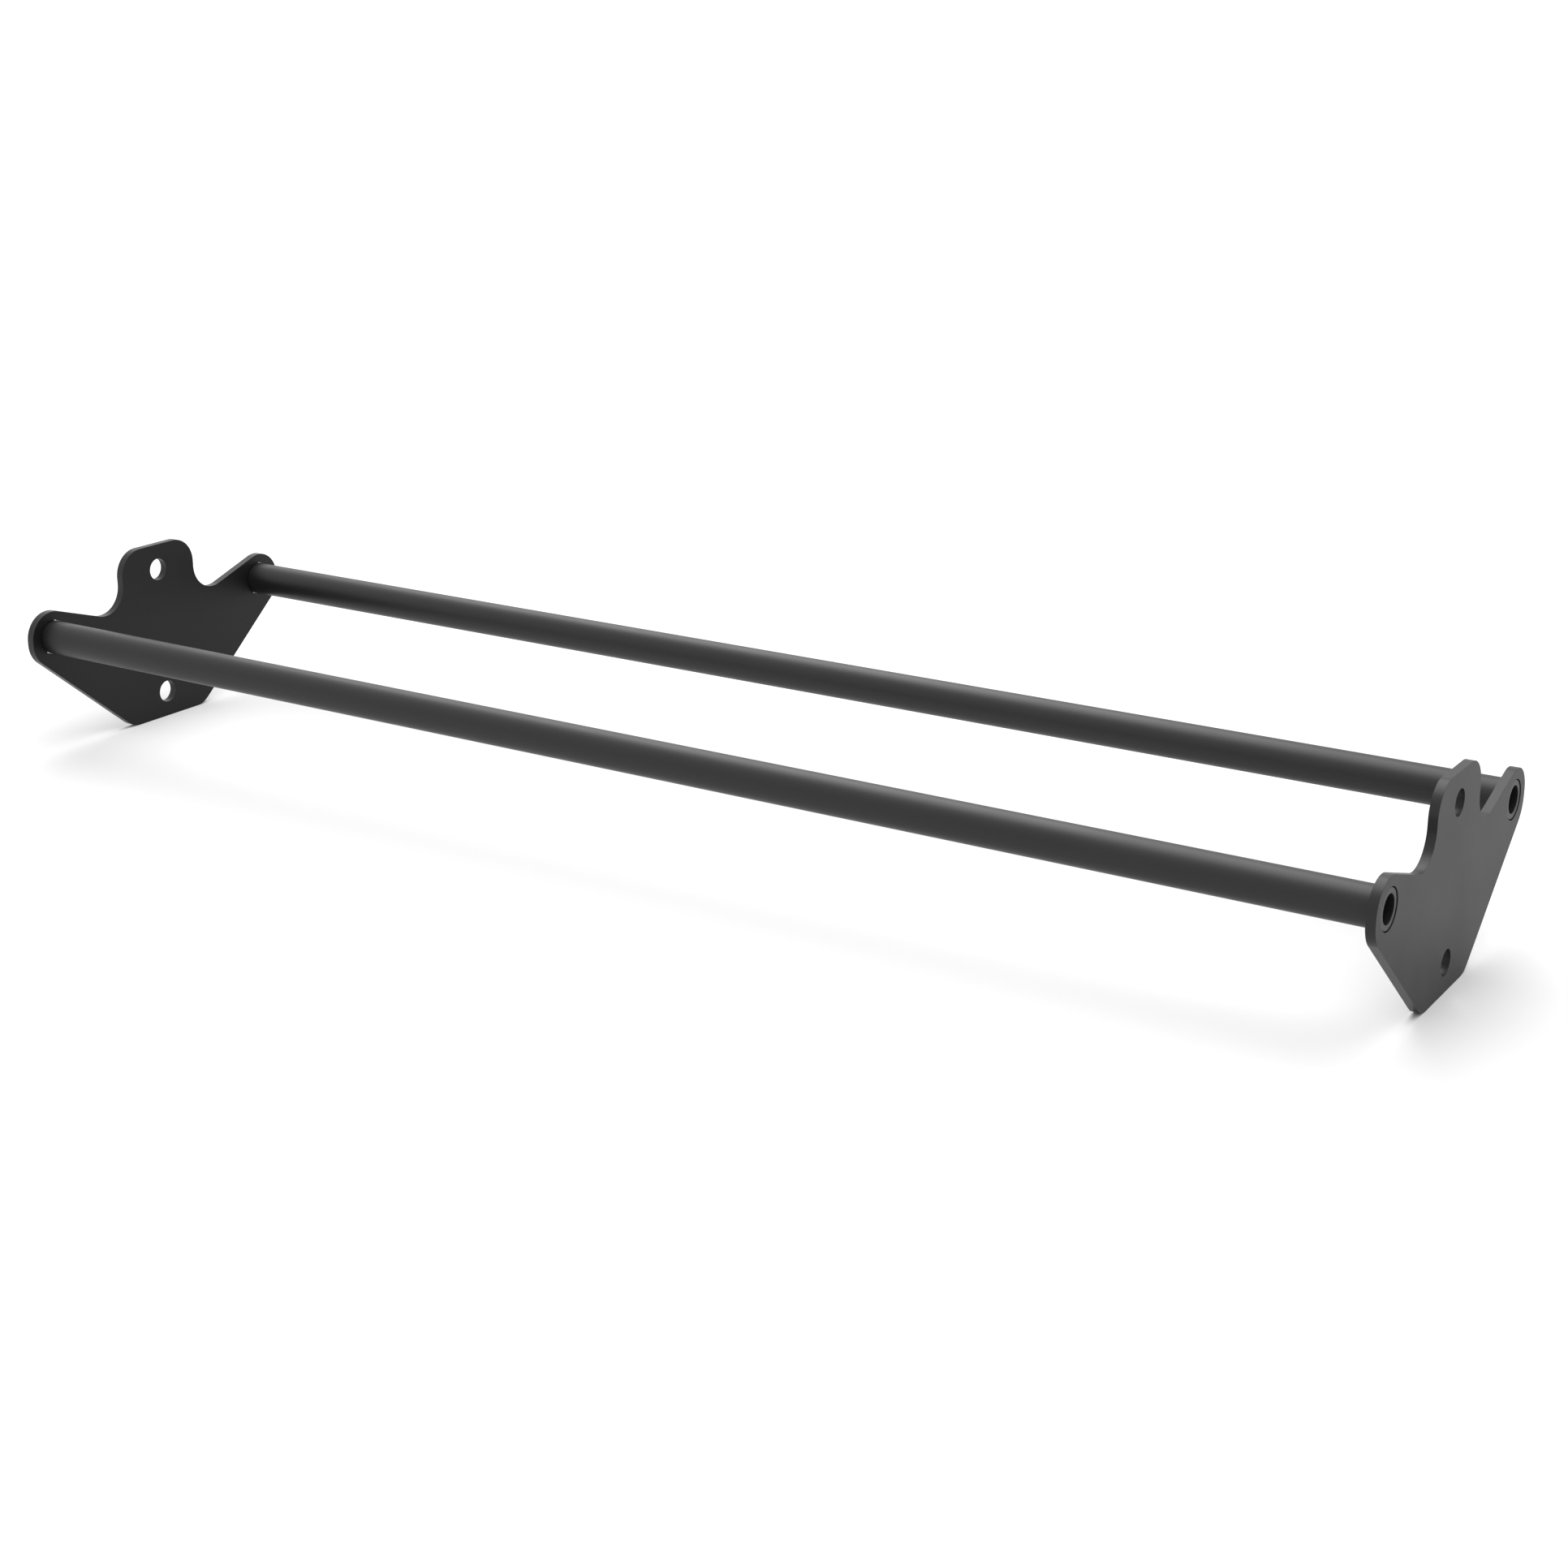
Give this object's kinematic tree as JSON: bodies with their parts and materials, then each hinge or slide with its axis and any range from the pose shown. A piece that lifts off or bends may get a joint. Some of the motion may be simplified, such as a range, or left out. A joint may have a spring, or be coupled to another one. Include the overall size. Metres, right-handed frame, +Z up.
{
  "type": "pull up bar",
  "caption": "Rack-mounted pull-up bar: parallel round steel bars welded between flat bolt-on side plates with a drilled tab and rising arms, satin black powder coat.",
  "frame": {"origin": "bottom centre of the part's box: midway between the side plates and between the bars, on the surface that the plates' bottom edges stand on", "axes": "+X along the bars towards the right plate, +Y from the front bar to the rear bar, +Z up"},
  "size_m": [1.056, 0.2616, 0.14],
  "materials": {
    "plate_coat": "satin black powder coat on laser-cut steel plate",
    "bar_coat": "satin black powder coat on drawn steel tube",
    "weld_metal": "weld metal under the same black powder coat"
  },
  "bodies": {
    "root": {"left_side_plate": "plate_coat", "right_side_plate": "plate_coat", "front_bar": "bar_coat", "rear_bar": "bar_coat", "left_front_weld_outer": "weld_metal", "left_front_weld_inner": "weld_metal", "left_rear_weld_outer": "weld_metal", "left_rear_weld_inner": "weld_metal", "right_front_weld_outer": "weld_metal", "right_front_weld_inner": "weld_metal", "right_rear_weld_outer": "weld_metal", "right_rear_weld_inner": "weld_metal"}
  },
  "joints": []
}
